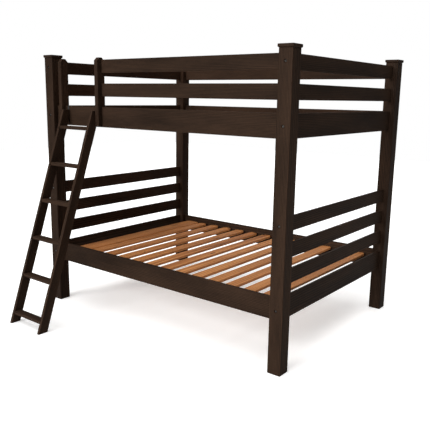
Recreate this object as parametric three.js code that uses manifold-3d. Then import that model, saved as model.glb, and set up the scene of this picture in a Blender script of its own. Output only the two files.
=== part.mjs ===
// A full-size bunk bed with a leaning ladder, in millimetres, +Z up.
// The bed is laid out with X along its length, Y from its front to its back and Z from the floor.
// At the end the whole model is shifted so that its origin is the middle of its footprint on the floor.

import * as THREE from 'three';
import { mergeVertices } from 'three/addons/utils/BufferGeometryUtils.js';
import Module from 'manifold-3d';

const wasm = await Module();
wasm.setup();

// ---------- driving dimensions ----------

const bedLength = 2100;
const bedDepth = 1528;
const bedHeight = 1858;
const jointGap = 0.3;

const postSize = 88;
const postCorner = 4;
const postEase = 2;
const capOverhang = 5.5;
const capThickness = 20;
const capSlope = 5;
const capCorner = 3;
const capEase = 2;

const boardThickness = 19;
const railHeight = 88;
const wideRailHeight = 138;
const railInset = (postSize - boardThickness) / 2;
const railEase = 2.5;
const counterbore = { diameter: 20, depth: 6 };

// Lowest edge of each rail.
const lowerSideRailZ = 319;
const lowerEndRailZ = [525, 681.5, 838];
const upperSideRailZ = 1360;
const upperGuardRailZ = { middle: 1568, top: 1726 };

const slatDrop = 45;
const slatThickness = 16;
const slatWidth = 82;
const slatPitch = 143;
const slatCount = 12;
const firstSlatCentre = 331;
const headBoard = { start: 139, width: 132 };
const slatEndGap = 3;
const slatCornerRadius = 33;
const slatEase = 1;
const ledgerHeight = 38;
const ledgerEndGap = 8;
const webbing = { width: 25, thickness: 2, overlap: 0.5, inset: 260, endMargin: 10 };

const guardPost = { width: 33, depth: 64, bottom: 1370, top: 1828, corner: 21, ease: 2 };
const ladderOpening = { start: 187, end: 546 };

const ladder = {
  left: 208,
  right: 544,
  top: 1472,
  footFront: -528.5,
  run: 0.345,
  railDepth: 70.5,
  board: 22,
};
const rung = { count: 6, first: 71, pitch: 255.5, depth: 54, housing: 6, ease: 1.5 };
const ladderRailEase = 2;
const hook = { width: 16, thickness: 3, legBottom: 1430, lip: 20, clearance: 0.5, ease: 0.5 };

// ---------- materials ----------

const stain = new THREE.MeshStandardMaterial({ color: 0x3a2c24, roughness: 0.45, metalness: 0 });
const pine = new THREE.MeshStandardMaterial({ color: 0xb47341, roughness: 0.6, metalness: 0 });
const blackSteel = new THREE.MeshStandardMaterial({ color: 0x1c1a19, roughness: 0.4, metalness: 0.8 });

// ---------- shapes ----------

const bed = new THREE.Group();
const axisX = new THREE.Vector3(1, 0, 0);
const axisY = new THREE.Vector3(0, 1, 0);
const axisZ = new THREE.Vector3(0, 0, 1);

function place(name, geometry, material, x = 0, y = 0, z = 0) {
  const mesh = new THREE.Mesh(geometry, material);
  mesh.name = name;
  mesh.position.set(x, y, z);
  bed.add(mesh);
}

// A flat outline given a thickness along +Z, with both of its faces' edges eased.
function plank(shape, thickness, ease, bevelSegments = 2, curveSegments = 3) {
  const geometry = new THREE.ExtrudeGeometry(shape, {
    depth: thickness - 2 * ease,
    bevelThickness: ease,
    bevelSize: ease,
    bevelOffset: -ease,
    bevelSegments,
    curveSegments,
  });
  geometry.translate(0, 0, ease);
  return geometry;
}

function outline(points) {
  return new THREE.Shape(points.map(([u, v]) => new THREE.Vector2(u, v)));
}

function rectangle(width, height) {
  return outline([[0, 0], [width, 0], [width, height], [0, height]]);
}

function roundedRectangle(width, height, radius) {
  const shape = new THREE.Shape();
  shape.absarc(width - radius, radius, radius, -Math.PI / 2, 0);
  shape.absarc(width - radius, height - radius, radius, 0, Math.PI / 2);
  shape.absarc(radius, height - radius, radius, Math.PI / 2, Math.PI);
  shape.absarc(radius, radius, radius, Math.PI, 1.5 * Math.PI);
  return shape;
}

// Turns a plank whose outline is (length, height) so that its length runs along X.
function standAlongX(geometry, thickness) {
  geometry.applyMatrix4(new THREE.Matrix4().makeBasis(axisX, axisZ, axisY.clone().negate()));
  return geometry.translate(0, thickness, 0);
}

// Turns a plank whose outline is (depth, height) so that its thickness runs along X.
function standAlongY(geometry) {
  return geometry.applyMatrix4(new THREE.Matrix4().makeBasis(axisY, axisZ, axisX));
}

function boardAlongX(length, height) {
  return standAlongX(plank(rectangle(length, height), boardThickness, railEase), boardThickness);
}

function boardAlongY(length, height) {
  return standAlongY(plank(rectangle(length, height), boardThickness, railEase));
}

function toSolid(geometry) {
  const bare = geometry.index ? geometry.toNonIndexed() : geometry.clone();
  bare.deleteAttribute('normal');
  bare.deleteAttribute('uv');
  const merged = mergeVertices(bare, 1e-4);
  const vertProperties = new Float32Array(merged.attributes.position.array);
  const triVerts = new Uint32Array(merged.index.array);
  return new wasm.Manifold(new wasm.Mesh({ numProp: 3, vertProperties, triVerts }));
}

function toGeometry(solid) {
  const mesh = solid.getMesh();
  const geometry = new THREE.BufferGeometry();
  geometry.setAttribute('position', new THREE.BufferAttribute(new Float32Array(mesh.vertProperties), 3));
  geometry.setIndex(new THREE.BufferAttribute(new Uint32Array(mesh.triVerts), 1));
  geometry.computeVertexNormals();
  return geometry;
}

function block([x0, y0, z0], [x1, y1, z1]) {
  const box = new THREE.BoxGeometry(x1 - x0, y1 - y0, z1 - z0);
  return box.translate((x0 + x1) / 2, (y0 + y1) / 2, (z0 + z1) / 2);
}

// ---------- posts and caps ----------

function capGeometry() {
  const size = postSize + 2 * capOverhang;
  const levels = [
    { z: 0, inset: capOverhang },
    { z: capSlope, inset: 0 },
    { z: capThickness - capEase, inset: 0 },
    { z: capThickness, inset: capEase },
  ];
  const rings = levels.map(({ z, inset }) => {
    const points = roundedRectangle(size - 2 * inset, size - 2 * inset, capCorner).getPoints(2);
    const corners = points.filter((p, i) => i === 0 || p.distanceTo(points[i - 1]) > 1e-3);
    if (corners[0].distanceTo(corners.at(-1)) < 1e-3) corners.pop();
    return corners.map((p) => [p.x + inset, p.y + inset, z]);
  });
  const count = rings[0].length;
  const index = [];
  for (let level = 0; level + 1 < rings.length; level += 1) {
    for (let i = 0; i < count; i += 1) {
      const a = level * count + i;
      const b = level * count + ((i + 1) % count);
      index.push(a, b, b + count, a, b + count, a + count);
    }
  }
  const lastRing = (rings.length - 1) * count;
  for (let i = 1; i + 1 < count; i += 1) {
    index.push(0, i + 1, i, lastRing, lastRing + i, lastRing + i + 1);
  }
  const geometry = new THREE.BufferGeometry();
  geometry.setAttribute('position', new THREE.Float32BufferAttribute(rings.flat(2), 3));
  geometry.setIndex(index);
  geometry.computeVertexNormals();
  return geometry;
}

const postHeight = bedHeight - capThickness - jointGap;
const counterboreHeights = [
  lowerSideRailZ + wideRailHeight / 2,
  lowerEndRailZ.at(-1) + railHeight / 2,
  upperSideRailZ + wideRailHeight / 2,
  upperGuardRailZ.top + railHeight / 2,
];

// The end rails' bolts are sunk into the post's outward face, whose Y is outerFace.
function postGeometry(outerFace) {
  const { diameter, depth } = counterbore;
  let post = toSolid(plank(roundedRectangle(postSize, postSize, postCorner), postHeight, postEase, 1));
  for (const z of counterboreHeights) {
    const sink = new THREE.CylinderGeometry(diameter / 2, diameter / 2, 2 * depth, 24);
    post = post.subtract(toSolid(sink.translate(postSize / 2, outerFace, z)));
  }
  return toGeometry(post);
}

const sides = { left: 0, right: bedLength - postSize };
const faces = { front: 0, back: bedDepth - postSize };

for (const [face, y] of Object.entries(faces)) {
  for (const [side, x] of Object.entries(sides)) {
    place(`post_${face}_${side}`, postGeometry(face === 'front' ? 0 : postSize), stain, x, y);
    const capZ = bedHeight - capThickness;
    place(`cap_${face}_${side}`, capGeometry(), stain, x - capOverhang, y - capOverhang, capZ);
  }
}

// ---------- rails ----------

const innerStart = postSize + jointGap;
const sideRailLength = bedLength - 2 * innerStart;
const endRailLength = bedDepth - 2 * innerStart;
const railY = { front: railInset, back: bedDepth - railInset - boardThickness };
const railX = { left: railInset, right: bedLength - railInset - boardThickness };

function sideRail(name, height, y, z, start = innerStart) {
  const length = bedLength - innerStart - start;
  place(name, boardAlongX(length, height), stain, start, y, z);
}

for (const [face, y] of Object.entries(railY)) {
  sideRail(`lower_side_rail_${face}`, wideRailHeight, y, lowerSideRailZ);
  sideRail(`upper_side_rail_${face}`, wideRailHeight, y, upperSideRailZ);
}

const guardStart = { front: ladderOpening.end + guardPost.width + jointGap, back: innerStart };
for (const [face, y] of Object.entries(railY)) {
  for (const [level, z] of Object.entries(upperGuardRailZ)) {
    sideRail(`${level}_guard_rail_${face}`, railHeight, y, z, guardStart[face]);
  }
}

const endRails = [
  ['lower_end_board', wideRailHeight, lowerSideRailZ],
  ...lowerEndRailZ.map((z, i) => [`lower_end_rail_${i + 1}`, railHeight, z]),
  ['upper_end_board', wideRailHeight, upperSideRailZ],
  ['upper_end_middle_rail', railHeight, upperGuardRailZ.middle],
  ['upper_end_top_rail', railHeight, upperGuardRailZ.top],
];
for (const [side, x] of Object.entries(railX)) {
  for (const [name, height, z] of endRails) {
    place(`${name}_${side}`, boardAlongY(endRailLength, height), stain, x, innerStart, z);
  }
}

// ---------- posts of the ladder opening ----------

// The upper part is full depth; below the rail's top only a tongue runs down in front of the side rail.
function guardPostGeometry() {
  const { width, depth, bottom, top, corner } = guardPost;
  const shoulder = upperSideRailZ + wideRailHeight + jointGap;
  const tongue = railInset - jointGap;
  const profile = outline([
    [0, bottom], [tongue, bottom], [tongue, shoulder], [depth, shoulder],
    [depth, top - corner], [depth - corner, top], [corner, top], [0, top - corner],
  ]);
  return standAlongY(plank(profile, width, guardPost.ease));
}

place('ladder_opening_post_left', guardPostGeometry(), stain, ladderOpening.start - guardPost.width);
place('ladder_opening_post_right', guardPostGeometry(), stain, ladderOpening.end);

// ---------- slats and the ledgers that carry them ----------

const slatLength = bedDepth - 2 * (railInset + boardThickness + slatEndGap);
const slatY = railInset + boardThickness + slatEndGap;

function slatRow() {
  const boards = [{ x: headBoard.start, width: headBoard.width }];
  for (let i = 0; i < slatCount; i += 1) {
    boards.push({ x: firstSlatCentre + i * slatPitch - slatWidth / 2, width: slatWidth });
  }
  return boards;
}

function slatGeometry(width) {
  return plank(roundedRectangle(width, slatLength, slatCornerRadius), slatThickness, slatEase, 1);
}

const lowerSlatTop = lowerSideRailZ + wideRailHeight - slatDrop;
const upperSlatTop = upperSideRailZ + wideRailHeight - slatDrop;

slatRow().forEach(({ x, width }, i) => {
  const name = `lower_slat_${String(i + 1).padStart(2, '0')}`;
  place(name, slatGeometry(width), pine, x, slatY, lowerSlatTop - slatThickness);
});

// The upper slats are tied together by two strips of webbing under them.
function upperDeckGeometry() {
  const row = slatRow();
  const last = row.at(-1);
  const underside = upperSlatTop - slatThickness;
  let deck = null;
  for (const { x, width } of row) {
    const slat = toSolid(slatGeometry(width).translate(x, slatY, underside));
    deck = deck ? deck.add(slat) : slat;
  }
  for (const y of [webbing.inset, bedDepth - webbing.inset - webbing.width]) {
    const low = [row[0].x + webbing.endMargin, y, underside - webbing.thickness];
    const high = [last.x + last.width - webbing.endMargin, y + webbing.width, underside + webbing.overlap];
    deck = deck.add(toSolid(block(low, high)));
  }
  return toGeometry(deck);
}

place('upper_slat_deck', upperDeckGeometry(), pine);

const ledgerLength = bedLength - 2 * (postSize + ledgerEndGap);
const ledgerY = {
  front: railY.front + boardThickness + jointGap,
  back: railY.back - boardThickness - jointGap,
};
for (const [level, slatTop] of [['lower', lowerSlatTop], ['upper', upperSlatTop]]) {
  const z = slatTop - slatThickness - jointGap - ledgerHeight;
  for (const [face, y] of Object.entries(ledgerY)) {
    const ledger = boardAlongX(ledgerLength, ledgerHeight);
    place(`${level}_slat_ledger_${face}`, ledger, stain, postSize + ledgerEndGap, y, z);
  }
}

// ---------- ladder ----------

const hookSeat = railY.front - jointGap;
const ladderBack = hookSeat - hook.thickness - jointGap;
const rungZ = Array.from({ length: rung.count }, (_, i) => rung.first + i * rung.pitch);

function ladderFrontAt(z) {
  return ladder.footFront + ladder.run * z;
}

function rungFront(z) {
  return ladderFrontAt(z + ladder.board / 2);
}

// innerFace is the X of the face that the rungs are let into: 0 or ladder.board.
function ladderRailGeometry(innerFace) {
  const plumbStart = (ladderBack - ladder.footFront - ladder.railDepth) / ladder.run;
  const profile = outline([
    [ladder.footFront, 0], [ladder.footFront + ladder.railDepth, 0],
    [ladderBack, plumbStart], [ladderBack, ladder.top], [ladderFrontAt(ladder.top), ladder.top],
  ]);
  let rail = toSolid(standAlongY(plank(profile, ladder.board, ladderRailEase)));
  const halfSlot = ladder.board / 2 + jointGap;
  for (const z of rungZ) {
    const low = [innerFace - rung.housing, rungFront(z) - rung.depth, z - halfSlot];
    const high = [innerFace + rung.housing, rungFront(z) + rung.depth + jointGap, z + halfSlot];
    rail = rail.subtract(toSolid(block(low, high)));
  }
  return toGeometry(rail);
}

place('ladder_rail_left', ladderRailGeometry(ladder.board), stain, ladder.left);
place('ladder_rail_right', ladderRailGeometry(0), stain, ladder.right - ladder.board);

const rungStart = ladder.left + ladder.board - rung.housing + jointGap;
const rungLength = ladder.right - ladder.left - 2 * (ladder.board - rung.housing + jointGap);
rungZ.forEach((z, i) => {
  const tread = standAlongX(plank(rectangle(rungLength, ladder.board), rung.depth, rung.ease), rung.depth);
  place(`ladder_rung_${i + 1}`, tread, stain, rungStart, rungFront(z), z - ladder.board / 2);
});

// A bent steel strap: a leg on the ladder's plumb cut, a bridge over the side rail, and a lip behind it.
function hookGeometry() {
  const { thickness, legBottom, lip, clearance, ease } = hook;
  const railTop = upperSideRailZ + wideRailHeight + jointGap;
  const legFront = hookSeat - thickness;
  const lipFront = railY.front + boardThickness + clearance;
  const profile = outline([
    [legFront, legBottom], [hookSeat, legBottom], [hookSeat, railTop], [lipFront, railTop],
    [lipFront, railTop - lip], [lipFront + thickness, railTop - lip],
    [lipFront + thickness, railTop + thickness], [legFront, railTop + thickness],
  ]);
  return standAlongY(plank(profile, hook.width, ease));
}

const hookMargin = (ladder.board - hook.width) / 2;
place('ladder_hook_left', hookGeometry(), blackSteel, ladder.left + hookMargin);
place('ladder_hook_right', hookGeometry(), blackSteel, ladder.right - ladder.board + hookMargin);

// ---------- origin ----------

const footprintBack = bedDepth + capOverhang;
bed.position.set(-bedLength / 2, -(ladder.footFront + footprintBack) / 2, 0);

export default bed;
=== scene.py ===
"""Looks for the bunk bed with a ladder: stained boards, bare slats, steel fittings, a pale floor, soft light.

Everything is in metres in the row frame: X along the bed, Y from its front to its back, Z up from the floor.
"""

import math
import random

import bmesh
import bpy
from mathutils import Euler, Matrix, Vector


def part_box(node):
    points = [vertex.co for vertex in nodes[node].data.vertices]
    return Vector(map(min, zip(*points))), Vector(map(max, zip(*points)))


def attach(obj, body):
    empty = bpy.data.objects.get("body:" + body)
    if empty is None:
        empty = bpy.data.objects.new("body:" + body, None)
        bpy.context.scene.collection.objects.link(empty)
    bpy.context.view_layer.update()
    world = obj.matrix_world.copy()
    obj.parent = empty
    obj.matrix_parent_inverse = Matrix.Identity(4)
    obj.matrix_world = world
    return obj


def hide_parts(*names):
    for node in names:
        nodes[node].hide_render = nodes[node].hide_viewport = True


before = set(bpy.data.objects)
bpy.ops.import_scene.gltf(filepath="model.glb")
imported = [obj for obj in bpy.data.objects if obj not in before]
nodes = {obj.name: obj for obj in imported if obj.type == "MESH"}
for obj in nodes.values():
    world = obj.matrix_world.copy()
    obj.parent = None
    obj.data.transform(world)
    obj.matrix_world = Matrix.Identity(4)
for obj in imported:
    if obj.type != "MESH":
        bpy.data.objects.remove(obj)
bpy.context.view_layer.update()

X_AXIS = Vector((1, 0, 0))
Y_AXIS = Vector((0, 1, 0))
Z_AXIS = Vector((0, 0, 1))

BED = "bed_frame"
LADDER = "ladder"
DECK = "upper_slat_deck"


# ---------- camera ----------

# The camera's place, measured from the front left post's outer corner on the floor.
CAMERA_FROM_CORNER = Vector((3.703, -2.686, 1.578))
CAMERA_YAW = math.radians(37.954)
CAMERA_PITCH = math.radians(-11.469)
CAMERA_ROLL = math.radians(0.947)
CAMERA_LENS_MM = 48.68
CAMERA_SENSOR_MM = 36.0


def make_camera():
    data = bpy.data.cameras.new("camera")
    data.lens = CAMERA_LENS_MM
    data.sensor_width = CAMERA_SENSOR_MM
    camera = bpy.data.objects.new("camera", data)
    bpy.context.scene.collection.objects.link(camera)
    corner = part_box("post_front_left")[0]
    aim = Euler((math.pi / 2 + CAMERA_PITCH, 0, CAMERA_YAW)).to_matrix()
    roll = Matrix.Rotation(CAMERA_ROLL, 3, "Z")
    camera.matrix_world = Matrix.Translation(corner + CAMERA_FROM_CORNER) @ (aim @ roll).to_4x4()
    bpy.context.scene.camera = camera


make_camera()


# ---------- node helpers ----------

# The Mix node has sockets for each data type under the same names, so its colour sockets go by number.
MIX_COLOUR_A = 6
MIX_COLOUR_B = 7
MIX_COLOUR_RESULT = 2

# The wave texture turns through this many radians for each unit of its Scale.
WAVE_RADIANS = 20


class Graph:
    """A material's node tree, with short ways to add and link nodes."""

    def __init__(self, name):
        self.material = bpy.data.materials.new(name)
        self.material.use_nodes = True
        self.tree = self.material.node_tree
        self.shader = self.tree.nodes["Principled BSDF"]

    def add(self, kind, inputs=None, **settings):
        node = self.tree.nodes.new(kind)
        for key, value in settings.items():
            setattr(node, key, value)
        for socket, value in (inputs or {}).items():
            self.feed(node.inputs[socket], value)
        return node

    def feed(self, socket, value):
        if isinstance(value, bpy.types.NodeSocket):
            self.tree.links.new(value, socket)
        else:
            socket.default_value = value

    def math(self, operation, a, b=0.0, clamp=False):
        node = self.add("ShaderNodeMath", {0: a, 1: b}, operation=operation, use_clamp=clamp)
        return node.outputs[0]

    def remap(self, value, low, high, to_low=0.0, to_high=1.0):
        inputs = {"Value": value, "From Min": low, "From Max": high, "To Min": to_low, "To Max": to_high}
        return self.add("ShaderNodeMapRange", inputs).outputs["Result"]

    def total(self, values, shares, offset):
        """The values added up, each times its share, and an offset."""
        parts = [self.math("MULTIPLY", value, share) for value, share in zip(values, shares)]
        result = parts[0]
        for part in parts[1:]:
            result = self.math("ADD", result, part)
        return self.math("ADD", result, offset)

    def mix(self, factor, a, b):
        """Colour a, a socket or four numbers, where the factor is 0, and the plain colour b where it is 1."""
        node = self.add("ShaderNodeMix", data_type="RGBA")
        self.feed(node.inputs["Factor"], factor)
        self.feed(node.inputs[MIX_COLOUR_A], a)
        self.feed(node.inputs[MIX_COLOUR_B], (*b, 1.0))
        return node.outputs[MIX_COLOUR_RESULT]

    def stretch(self, vector, scale):
        node = self.add("ShaderNodeVectorMath", operation="MULTIPLY")
        self.feed(node.inputs[0], vector)
        node.inputs[1].default_value = scale
        return node.outputs[0]

    def noise(self, vector, cycles, detail, roughness=0.5):
        """Noise with this many cycles per metre along each axis of the vector."""
        stretched = self.stretch(vector, cycles)
        inputs = {"Vector": stretched, "Scale": 1.0, "Detail": detail, "Roughness": roughness}
        return self.add("ShaderNodeTexNoise", inputs).outputs["Fac"]

    def wave(self, vector, spacing, inputs, **settings):
        """Waves this many metres apart."""
        inputs = {"Vector": vector, "Scale": 2 * math.pi / (WAVE_RADIANS * spacing), **inputs}
        return self.add("ShaderNodeTexWave", inputs, **settings).outputs["Fac"]

    def ramp(self, factor, stops):
        node = self.add("ShaderNodeValToRGB", {"Fac": factor})
        elements = node.color_ramp.elements
        while len(elements) < len(stops):
            elements.new(0.5)
        for element, (position, colour) in zip(elements, stops):
            element.position = position
            element.color = (*colour, 1.0)
        return node.outputs["Color"]

    def finish(self, colour, roughness, height, strength, distance):
        """The shader's colour, roughness and bump, and the material that they make."""
        self.feed(self.shader.inputs["Base Color"], colour)
        self.feed(self.shader.inputs["Roughness"], roughness)
        inputs = {"Height": height, "Strength": strength, "Distance": distance}
        self.feed(self.shader.inputs["Normal"], self.add("ShaderNodeBump", inputs).outputs["Normal"])
        return self.material


# ---------- wood ----------

# How far a board's cut may be shifted along its imagined log and across it, in metres.
CUT_ALONG = 9
CUT_ACROSS = 0.12

# How fast the rings change along the board, as a share of how fast they change across it.
RING_DRIFT = 0.06

# Noise cycles per metre along a board and across it.
FIBRE_CYCLES = {"stain": (14, 620, 620), "pine": (12, 520, 520)}
BLOTCH_CYCLES = {"stain": (1.6, 9, 9), "pine": (1.3, 14, 14)}
PORE_CYCLES = (38, 1500, 1500)
WEAR_CYCLES = (9, 40, 40)
KNOT_CYCLES = (2.6, 9.0, 9.0)


def grain_space(graph, along, rng):
    """Object coordinates turned so that X runs along the board, and shifted to its own cut."""
    turn = Vector(along).normalized().rotation_difference(X_AXIS).to_euler()
    shift = [rng.uniform(-reach, reach) for reach in (CUT_ALONG, CUT_ACROSS, CUT_ACROSS)]
    coordinates = graph.add("ShaderNodeTexCoord").outputs["Object"]
    mapping = graph.add("ShaderNodeMapping", {"Vector": coordinates, "Rotation": turn, "Location": shift})
    return mapping.outputs["Vector"]


def growth_rings(graph, space, spacing, wander):
    """Rings round the board's pith, bent by slow noise so that they show as arches on the flat faces."""
    drawn_out = graph.stretch(space, (RING_DRIFT, 1.0, 1.0))
    bends = {"Distortion": wander, "Detail": 2.5, "Detail Scale": 0.28, "Detail Roughness": 0.55}
    return graph.wave(drawn_out, spacing, bends, wave_type="RINGS", rings_direction="X", wave_profile="SAW")


def edge_wear(graph, space, radius, coverage):
    """1 where an edge has lost some of its stain, 0 elsewhere."""
    rounded = graph.add("ShaderNodeBevel", {"Radius": radius}, samples=4).outputs["Normal"]
    flat = graph.add("ShaderNodeNewGeometry").outputs["True Normal"]
    facing = graph.add("ShaderNodeVectorMath", operation="DOT_PRODUCT")
    graph.feed(facing.inputs[0], rounded)
    graph.feed(facing.inputs[1], flat)
    edge = graph.remap(facing.outputs["Value"], 0.995, 0.90)
    patches = graph.remap(graph.noise(space, WEAR_CYCLES, 3), 1 - coverage, 1.12 - coverage)
    return graph.math("MULTIPLY", edge, patches, clamp=True)


WOOD_BUMP = 0.0004

# How much rings, fibre and blotch each count in the tone, and the range of a board's own offset.
ESPRESSO_SHARES = (0.34, 0.36, 0.55)
ESPRESSO_OFFSETS = (-0.17, -0.07)
PINE_SHARES = (0.42, 0.34, 0.50)
PINE_OFFSETS = (-0.20, -0.06)

ESPRESSO_DARK = (0.0088, 0.0050, 0.0033)
ESPRESSO_MID = (0.0228, 0.0130, 0.0081)
ESPRESSO_LIGHT = (0.0490, 0.0268, 0.0162)
ESPRESSO_WORN = (0.085, 0.045, 0.026)
ESPRESSO_RAMP = [(0.24, ESPRESSO_DARK), (0.46, ESPRESSO_MID), (0.70, ESPRESSO_LIGHT)]
ESPRESSO_RING_SPACING = 0.0075
ESPRESSO_RING_WANDER = 9.0
WORN_EDGE_RADIUS = 0.0022
WORN_COVERAGE = 0.46
WORN_STRENGTH = 0.55
PORE_STRENGTH = 0.6


def stained_wood(name, along, seed):
    """Dark espresso stain under a satin lacquer, with the grain just showing through."""
    rng = random.Random(seed)
    graph = Graph(name)
    space = grain_space(graph, along, rng)
    rings = growth_rings(graph, space, ESPRESSO_RING_SPACING, ESPRESSO_RING_WANDER)
    fibre = graph.noise(space, FIBRE_CYCLES["stain"], 3, 0.6)
    blotch = graph.noise(space, BLOTCH_CYCLES["stain"], 3, 0.55)
    pores = graph.remap(graph.noise(space, PORE_CYCLES, 1), 0.60, 0.72)

    tone = graph.total((rings, fibre, blotch), ESPRESSO_SHARES, rng.uniform(*ESPRESSO_OFFSETS))
    colour = graph.ramp(tone, ESPRESSO_RAMP)
    colour = graph.mix(graph.math("MULTIPLY", pores, PORE_STRENGTH), colour, ESPRESSO_DARK)
    worn = edge_wear(graph, space, WORN_EDGE_RADIUS, WORN_COVERAGE)
    colour = graph.mix(graph.math("MULTIPLY", worn, WORN_STRENGTH), colour, ESPRESSO_WORN)

    gloss = graph.math("ADD", graph.math("MULTIPLY", blotch, 0.16), graph.math("MULTIPLY", fibre, 0.12))
    roughness = graph.remap(gloss, 0.05, 0.25, 0.48, 0.66)
    graph.shader.inputs["Specular IOR Level"].default_value = 0.05
    height = graph.math("SUBTRACT", graph.math("MULTIPLY", fibre, 0.6), pores)
    return graph.finish(colour, roughness, height, 0.18, WOOD_BUMP)


PINE_DARK = (0.200, 0.064, 0.017)
PINE_MID = (0.460, 0.172, 0.0455)
PINE_LIGHT = (0.720, 0.335, 0.112)
PINE_KNOT = (0.085, 0.022, 0.008)
# Painted light: a paler colour for the slats' side and end faces, so that they look as brightly lit as their
# tops.
PINE_PAINTED_SIDE_LIGHT = (0.67, 0.262, 0.084)
PINE_RAMP = [(0.17, PINE_DARK), (0.48, PINE_MID), (0.82, PINE_LIGHT)]
PINE_RING_SPACINGS = (0.007, 0.012)
PINE_RING_WANDER = 8.0
KNOT_STRENGTH = 0.8
PAINTED_SIDE_LIGHT_STRENGTH = 0.75


def knots(graph, space):
    """Small dark eyes, a few to each slat."""
    inputs = {"Vector": graph.stretch(space, KNOT_CYCLES), "Scale": 1.0, "Randomness": 1.0}
    cells = graph.add("ShaderNodeTexVoronoi", inputs, feature="F1")
    return graph.remap(cells.outputs["Distance"], 0.13, 0.055)


def painted_light_side_mask(graph):
    """1 on a slat's narrow side and end faces, which get painted light, 0 on its flat top and underside."""
    normal = graph.add("ShaderNodeNewGeometry").outputs["True Normal"]
    split = graph.add("ShaderNodeSeparateXYZ", {"Vector": normal})
    return graph.remap(graph.math("ABSOLUTE", split.outputs["Z"]), 0.75, 0.35)


def bare_pine(name, along, seed):
    """Sanded softwood with strong orange-brown growth rings, and painted light that makes its narrow side and
    end faces paler, as lit as its top.
    """
    rng = random.Random(seed)
    graph = Graph(name)
    space = grain_space(graph, along, rng)
    rings = growth_rings(graph, space, rng.uniform(*PINE_RING_SPACINGS), PINE_RING_WANDER)
    fibre = graph.noise(space, FIBRE_CYCLES["pine"], 3, 0.6)
    blotch = graph.noise(space, BLOTCH_CYCLES["pine"], 3, 0.55)
    knot = knots(graph, space)

    tone = graph.total((rings, fibre, blotch), PINE_SHARES, rng.uniform(*PINE_OFFSETS))
    colour = graph.ramp(tone, PINE_RAMP)
    colour = graph.mix(graph.math("MULTIPLY", knot, KNOT_STRENGTH), colour, PINE_KNOT)
    # Painted light: the side and end faces are mixed towards a paler colour, so that they look as brightly
    # lit as the top.
    colour = graph.mix(graph.math("MULTIPLY", painted_light_side_mask(graph), PAINTED_SIDE_LIGHT_STRENGTH), colour, PINE_PAINTED_SIDE_LIGHT)
    roughness = graph.remap(fibre, 0.3, 0.7, 0.52, 0.70)
    graph.shader.inputs["Specular IOR Level"].default_value = 0.35
    height = graph.math("ADD", graph.math("MULTIPLY", rings, 0.5), fibre)
    return graph.finish(colour, roughness, height, 0.22, WOOD_BUMP)


# ---------- metal and webbing ----------

NICKEL_RAMP = [(0.3, (0.085, 0.079, 0.074)), (0.7, (0.17, 0.158, 0.148))]
COAT_RAMP = [(0.35, (0.010, 0.009, 0.009)), (0.75, (0.022, 0.020, 0.019))]
WEAVE_RAMP = [(0.1, (0.020, 0.018, 0.016)), (0.8, (0.075, 0.068, 0.060))]
WARP_SPACING = 0.0016
WEFT_SPACING = 0.0022

# Noise cycles per metre along X, Y and Z.
SCRATCH_CYCLES = (900, 900, 3200)
TARNISH_CYCLES = (160, 160, 160)
GRIT_CYCLES = (1400, 1400, 1400)
RUB_CYCLES = (60, 60, 60)


def dull_nickel(name):
    """Old nickel plate: dark, a little tarnished, with fine scratches."""
    graph = Graph(name)
    coordinates = graph.add("ShaderNodeTexCoord").outputs["Object"]
    scratches = graph.noise(coordinates, SCRATCH_CYCLES, 2, 0.6)
    tarnish = graph.noise(coordinates, TARNISH_CYCLES, 3, 0.5)
    graph.shader.inputs["Metallic"].default_value = 1.0
    roughness = graph.remap(scratches, 0.3, 0.7, 0.28, 0.46)
    return graph.finish(graph.ramp(tarnish, NICKEL_RAMP), roughness, scratches, 0.15, 0.0001)


def powder_coat(name):
    """Black powder coat with a fine grit, rubbed paler in places."""
    graph = Graph(name)
    coordinates = graph.add("ShaderNodeTexCoord").outputs["Object"]
    grit = graph.noise(coordinates, GRIT_CYCLES, 2, 0.6)
    rub = graph.noise(coordinates, RUB_CYCLES, 3, 0.5)
    roughness = graph.remap(grit, 0.3, 0.7, 0.42, 0.60)
    return graph.finish(graph.ramp(rub, COAT_RAMP), roughness, grit, 0.25, 0.0002)


def woven_webbing(name):
    """Dark webbing with a plain weave: warp along the strap, weft across it."""
    graph = Graph(name)
    coordinates = graph.add("ShaderNodeTexCoord").outputs["Object"]
    unevenness = {"Distortion": 0.4, "Detail": 1.0}
    warp = graph.wave(coordinates, WARP_SPACING, unevenness, bands_direction="Y")
    weft = graph.wave(coordinates, WEFT_SPACING, unevenness, bands_direction="X")
    weave = graph.math("MULTIPLY", warp, weft)
    roughness = graph.remap(weave, 0.0, 1.0, 0.9, 0.7)
    return graph.finish(graph.ramp(weave, WEAVE_RAMP), roughness, weave, 0.6, 0.0005)


# ---------- materials on the CAD pieces ----------

RUNGS = sorted(name for name in nodes if name.startswith("ladder_rung_"))
LOWER_SLATS = sorted(name for name in nodes if name.startswith("lower_slat_") and "ledger" not in name)


def set_material(obj, material):
    obj.data.materials.clear()
    obj.data.materials.append(material)


def ladder_slope():
    """The direction in which the ladder climbs."""
    return (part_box(RUNGS[-1])[0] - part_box(RUNGS[0])[0]).normalized()


def grain_direction(name):
    """The way that the named board's grain runs."""
    if name.startswith(("post_", "cap_", "ladder_opening_post")):
        return Z_AXIS
    if name.startswith("ladder_rail"):
        return ladder_slope()
    if "_end_" in name or name in LOWER_SLATS:
        return Y_AXIS
    return X_AXIS


def finish_cad_nodes():
    """A material for every CAD node that stays visible, each board with its own seed."""
    steel = powder_coat("hook_steel")
    for seed, name in enumerate(sorted(nodes)):
        if name == DECK:
            continue
        if name.startswith("ladder_hook"):
            set_material(nodes[name], steel)
        elif name in LOWER_SLATS:
            set_material(nodes[name], bare_pine(f"pine_{name}", grain_direction(name), seed))
        else:
            set_material(nodes[name], stained_wood(f"stain_{name}", grain_direction(name), seed))


finish_cad_nodes()


# ---------- pieces made here ----------

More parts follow.
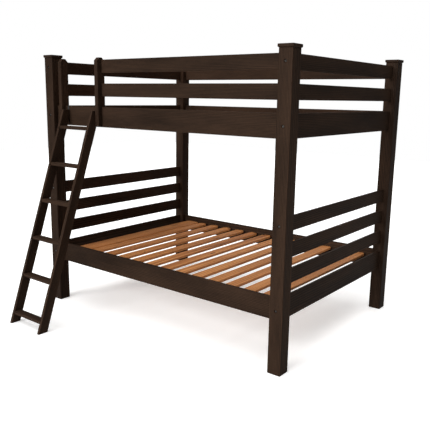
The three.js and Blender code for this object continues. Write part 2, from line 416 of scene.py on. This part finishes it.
# Seeds of the wood on the pieces made here: each piece adds its own number to one of these.
UPPER_SLAT_SEED = 100
LADDER_PLUG_SEED = 300
OPENING_PLUG_SEED = 310

# Two narrow slats side by side, which give the upper deck's rise and the slats' thickness and pitch.
SLAT, NEXT_SLAT = LOWER_SLATS[4:6]


def add_piece(name, mesh, material, body):
    """A visible piece with the given material, which rides on a body."""
    piece = bpy.data.objects.new(name, mesh)
    bpy.context.scene.collection.objects.link(piece)
    set_material(piece, material)
    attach(piece, body)
    return piece


def join_rings(form, rings):
    """Faces from each ring of points to the next, and one across the first ring and the last."""
    for a, b in zip(rings, rings[1:]):
        for i in range(len(a)):
            j = (i + 1) % len(a)
            form.faces.new((a[i], a[j], b[j], b[i]))
    form.faces.new(list(reversed(rings[0])))
    form.faces.new(rings[-1])
    bmesh.ops.recalc_face_normals(form, faces=form.faces)


def upper_slats():
    """The upper deck as the separate slats it really has, each a copy of the slat below it."""
    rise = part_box(DECK)[1].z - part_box(SLAT)[1].z
    for number, name in enumerate(LOWER_SLATS, 1):
        mesh = nodes[name].data.copy()
        mesh.transform(Matrix.Translation((0, 0, rise)))
        material = bare_pine(f"pine_upper_{number:02d}", Y_AXIS, UPPER_SLAT_SEED + number)
        piece = add_piece(f"upper_slat_{number:02d}", mesh, material, BED)
        if number == 1:
            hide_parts(DECK)


WEBBING_WIDTH = 0.025
WEBBING_THICKNESS = 0.0016
WEBBING_INSET = 0.26
WEBBING_END_MARGIN = 0.01
WEBBING_SAG = 0.00025
WEBBING_STEPS = 120

# The strap's section: across in widths of the strap, up in halves of its thickness.
WEBBING_SECTION = [(-0.5, -0.6), (-0.47, -1.0), (0.47, -1.0), (0.5, -0.6)]
WEBBING_SECTION += [(-across, -up) for across, up in WEBBING_SECTION]


def webbing_mesh(name, start, end, y, top, pitch):
    """A flat strap with rounded edges, very slightly slack between the slats."""
    mesh = bpy.data.meshes.new(name)
    form = bmesh.new()
    half = WEBBING_THICKNESS / 2
    rings = []
    for i in range(WEBBING_STEPS + 1):
        x = start + (end - start) * i / WEBBING_STEPS
        sag = WEBBING_SAG * (1 - math.cos(2 * math.pi * (x - start) / pitch))
        middle = top - half - sag
        section = [(y + across * WEBBING_WIDTH, middle + up * half) for across, up in WEBBING_SECTION]
        rings.append([form.verts.new((x, *point)) for point in section])
    join_rings(form, rings)
    form.to_mesh(mesh)
    form.free()
    return mesh


def webbing():
    """Two straps under the upper slats, which keep them apart."""
    low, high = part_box(DECK)
    start, end = low.x + WEBBING_END_MARGIN, high.x - WEBBING_END_MARGIN
    slat_low, slat_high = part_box(SLAT)
    top = high.z - (slat_high.z - slat_low.z)
    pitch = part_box(NEXT_SLAT)[0].x - slat_low.x
    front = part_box("post_front_left")[0].y + WEBBING_INSET + WEBBING_WIDTH / 2
    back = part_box("post_back_left")[1].y - WEBBING_INSET - WEBBING_WIDTH / 2
    material = woven_webbing("webbing")
    for side, y in (("front", front), ("back", back)):
        mesh = webbing_mesh(f"webbing_{side}", start, end, y, top, pitch)
        add_piece(f"upper_webbing_{side}", mesh, material, BED)


upper_slats()
webbing()


# ---------- bolts and plugs ----------

COUNTERBORE_DEPTH = 0.006
BOLT_RADIUS = 0.0056
BOLT_HEAD = 0.0042
SOCKET_RADIUS = 0.0026
SOCKET_DEPTH = 0.0025
BOLT_CHAMFER = 0.0008
BOLT_SEGMENTS = 24
HEXAGON_SIDE = math.pi / 3
BOLTED_RAILS = ("upper_end_top_rail", "upper_end_board", "lower_end_rail_3", "lower_end_board")


def round_ring(form, segments, radius, height):
    """A ring of points on a circle."""
    angles = [2 * math.pi * i / segments for i in range(segments)]
    return [form.verts.new((radius * math.cos(a), radius * math.sin(a), height)) for a in angles]


def hexagon_ring(form, segments, radius, height):
    """A ring of points on a hexagon, which radius reaches at its corners."""
    ring = []
    for i in range(segments):
        angle = 2 * math.pi * i / segments
        from_flat = angle % HEXAGON_SIDE - HEXAGON_SIDE / 2
        reach = radius * math.cos(HEXAGON_SIDE / 2) / math.cos(from_flat)
        ring.append(form.verts.new((reach * math.cos(angle), reach * math.sin(angle), height)))
    return ring


def turned_form(profile, segments, socket=None):
    """A head turned from (radius, height) points round +Z, with an optional hexagonal socket in its top."""
    form = bmesh.new()
    rings = [round_ring(form, segments, radius, height) for radius, height in profile]
    if socket:
        radius, depth = socket
        top = profile[-1][1]
        rings += [hexagon_ring(form, segments, radius, height) for height in (top, top - depth)]
    join_rings(form, rings)
    return form


def fixing_mesh(name, form, places, axis):
    """One mesh that holds a copy of the form at each place, facing along axis. It frees the form."""
    turn = Z_AXIS.rotation_difference(Vector(axis)).to_matrix().to_4x4()
    single = bpy.data.meshes.new(name + "_one")
    form.to_mesh(single)
    form.free()
    joined = bmesh.new()
    for place in places:
        copy = single.copy()
        copy.transform(Matrix.Translation(place) @ turn)
        joined.from_mesh(copy)
        bpy.data.meshes.remove(copy)
    mesh = bpy.data.meshes.new(name)
    joined.to_mesh(mesh)
    joined.free()
    bpy.data.meshes.remove(single)
    return mesh


def bolts():
    """Connector bolts in each post's counterbores, which run into the ends of the end rails."""
    profile = [
        (BOLT_RADIUS, 0.0),
        (BOLT_RADIUS, BOLT_HEAD - BOLT_CHAMFER),
        (BOLT_RADIUS - BOLT_CHAMFER, BOLT_HEAD),
    ]
    nickel = dull_nickel("bolt_nickel")
    for side in ("left", "right"):
        for face, outward in (("front", -1), ("back", 1)):
            low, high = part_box(f"post_{face}_{side}")
            y = (low.y if face == "front" else high.y) - outward * COUNTERBORE_DEPTH
            for number, rail in enumerate(BOLTED_RAILS, 1):
                rail_low, rail_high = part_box(f"{rail}_{side}")
                place = Vector(((low.x + high.x) / 2, y, (rail_low.z + rail_high.z) / 2))
                name = f"bolt_{face}_{side}_{number}"
                form = turned_form(profile, BOLT_SEGMENTS, (SOCKET_RADIUS, SOCKET_DEPTH))
                mesh = fixing_mesh(name, form, [place], (0, outward, 0))
                add_piece(name, mesh, nickel, BED)


PLUG_RADIUS = 0.0048
PLUG_RISE = 0.0006
PLUG_ROOT = 0.001
PLUG_SEGMENTS = 16

# Where the plugs sit, as shares of a rung's depth and of the side rail's height.
RUNG_PLUG_SHARES = (0.25, 0.75)
RAIL_PLUG_SHARES = (0.28, 0.76)


def plug_form():
    """A low disc with a bevelled edge, which starts just under the board's face."""
    profile = [(PLUG_RADIUS, -PLUG_ROOT), (PLUG_RADIUS, PLUG_RISE * 0.5), (PLUG_RADIUS * 0.8, PLUG_RISE)]
    return turned_form(profile, PLUG_SEGMENTS)


def ladder_plugs():
    """Stained plugs over the screws that hold each rung, on the ladder rails' outer faces."""
    for side, outward in (("left", -1), ("right", 1)):
        low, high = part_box(f"ladder_rail_{side}")
        x = low.x if side == "left" else high.x
        places = []
        for rung in RUNGS:
            rung_low, rung_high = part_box(rung)
            for share in RUNG_PLUG_SHARES:
                y = rung_low.y + (rung_high.y - rung_low.y) * share
                places.append(Vector((x, y, (rung_low.z + rung_high.z) / 2)))
        mesh = fixing_mesh(f"ladder_plugs_{side}", plug_form(), places, (outward, 0, 0))
        material = stained_wood(f"stain_plugs_{side}", X_AXIS, LADDER_PLUG_SEED + outward)
        add_piece(f"ladder_plugs_{side}", mesh, material, LADDER)


def opening_post_plugs():
    """Stained plugs over the bolts that hold the opening's uprights to the side rail."""
    rail_low, rail_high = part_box("upper_side_rail_front")
    for number, side in enumerate(("left", "right")):
        low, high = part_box(f"ladder_opening_post_{side}")
        x = (low.x + high.x) / 2
        heights = [rail_low.z + (rail_high.z - rail_low.z) * share for share in RAIL_PLUG_SHARES]
        places = [Vector((x, low.y, z)) for z in heights]
        mesh = fixing_mesh(f"opening_post_plugs_{side}", plug_form(), places, (0, -1, 0))
        material = stained_wood(f"stain_post_plugs_{side}", Y_AXIS, OPENING_PLUG_SEED + number)
        add_piece(f"opening_post_plugs_{side}", mesh, material, BED)


bolts()
ladder_plugs()
opening_post_plugs()


# ---------- floor and light ----------

WHITE = (1, 1, 1, 1)
FLOOR_HALF = 12.0
FLOOR_SEEN = (0.98, 0.98, 0.975)
FLOOR_BOUNCE = (0.52, 0.52, 0.52)
FLOOR_GLOW = 0.30
WORLD_LIGHT = 0.08
WORLD_SEEN = 1.0

# Each broad light's name, its strength, the way from the bed to it, and its width in degrees.
LIGHTS = (
    ("front", 3.0, (-0.12, -0.92, 0.38), 40),
    ("overhead", 2.3, (0.0, -0.12, 1.0), 70),
    ("side", 0.15, (0.88, -0.40, 0.25), 50),
    ("back", 0.5, (-0.15, 0.85, 0.45), 60),
)


def make_floor():
    """A pale floor that throws less light back at the bed than it shows to the camera."""
    mesh = bpy.data.meshes.new("floor")
    corners = [(x * FLOOR_HALF, y * FLOOR_HALF, 0) for x, y in ((-1, -1), (1, -1), (1, 1), (-1, 1))]
    mesh.from_pydata(corners, [], [(0, 1, 2, 3)])
    floor = bpy.data.objects.new("floor", mesh)
    bpy.context.scene.collection.objects.link(floor)
    graph = Graph("floor_paint")
    seen = graph.add("ShaderNodeLightPath").outputs["Is Camera Ray"]
    graph.feed(graph.shader.inputs["Base Color"], graph.mix(seen, (*FLOOR_BOUNCE, 1.0), FLOOR_SEEN))
    graph.shader.inputs["Emission Color"].default_value = WHITE
    graph.feed(graph.shader.inputs["Emission Strength"], graph.math("MULTIPLY", seen, FLOOR_GLOW))
    graph.shader.inputs["Roughness"].default_value = 0.9
    graph.shader.inputs["Specular IOR Level"].default_value = 0.1
    set_material(floor, graph.material)


def broad_light(name, strength, towards, width_degrees):
    """A distant soft light, like a large diffuser: towards points from the bed to it."""
    data = bpy.data.lights.new(name, "SUN")
    data.energy = strength
    data.angle = math.radians(width_degrees)
    light = bpy.data.objects.new(name, data)
    light.rotation_euler = Vector(towards).to_track_quat("Z", "Y").to_euler()
    bpy.context.scene.collection.objects.link(light)


def make_world():
    """White behind the bed, and a dimmer white for the light that it gives."""
    world = bpy.data.worlds.new("studio")
    world.use_nodes = True
    tree = world.node_tree
    background = tree.nodes["Background"]
    background.inputs["Color"].default_value = WHITE
    path = tree.nodes.new("ShaderNodeLightPath")
    strength = tree.nodes.new("ShaderNodeMapRange")
    strength.inputs["To Min"].default_value = WORLD_LIGHT
    strength.inputs["To Max"].default_value = WORLD_SEEN
    tree.links.new(path.outputs["Is Camera Ray"], strength.inputs["Value"])
    tree.links.new(strength.outputs["Result"], background.inputs["Strength"])
    bpy.context.scene.world = world


make_floor()
make_world()
for light in LIGHTS:
    broad_light(*light)
bpy.context.scene.view_settings.view_transform = "Standard"
